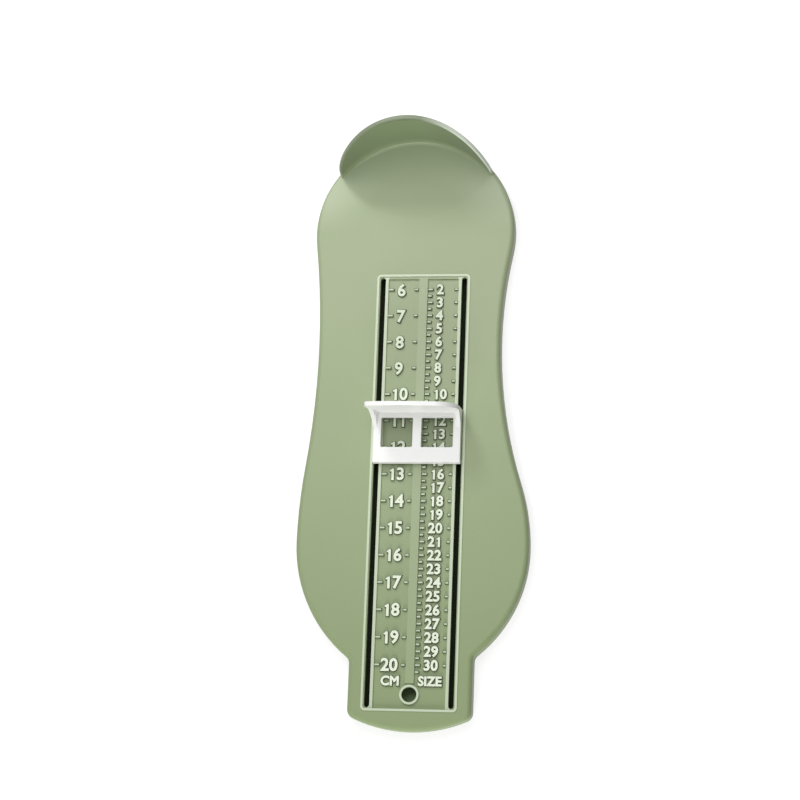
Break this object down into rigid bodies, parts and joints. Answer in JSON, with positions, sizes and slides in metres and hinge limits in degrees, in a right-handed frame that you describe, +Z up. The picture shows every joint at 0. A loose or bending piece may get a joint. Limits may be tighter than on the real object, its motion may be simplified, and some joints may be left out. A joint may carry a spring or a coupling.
{
  "type": "foot measuring device",
  "caption": "Flat sole-shaped foot gauge with a raised heel cup, a length scale between two slots, and a toe stop that slides along them.",
  "frame": {"origin": "middle of the plate's length and width, on the flat surface that it stands on", "axes": "+Z up; +Y along the plate towards its heel end; +X across the plate, to the right as seen with the heel at the top"},
  "size_m": [0.086, 0.2236, 0.0355],
  "materials": {
    "plate": "soft satin sage green moulding",
    "slider": "smooth white moulding"
  },
  "bodies": {
    "plate": {"foot_plate": "plate"},
    "slider": {"toe_slider": "slider", "slider_keeper": "slider"}
  },
  "joints": [
    {"name": "toe_slide", "type": "slide", "parent": "plate", "child": "slider", "axis": [0, 1, 0], "range_m": [-0.09, 0.05]}
  ]
}
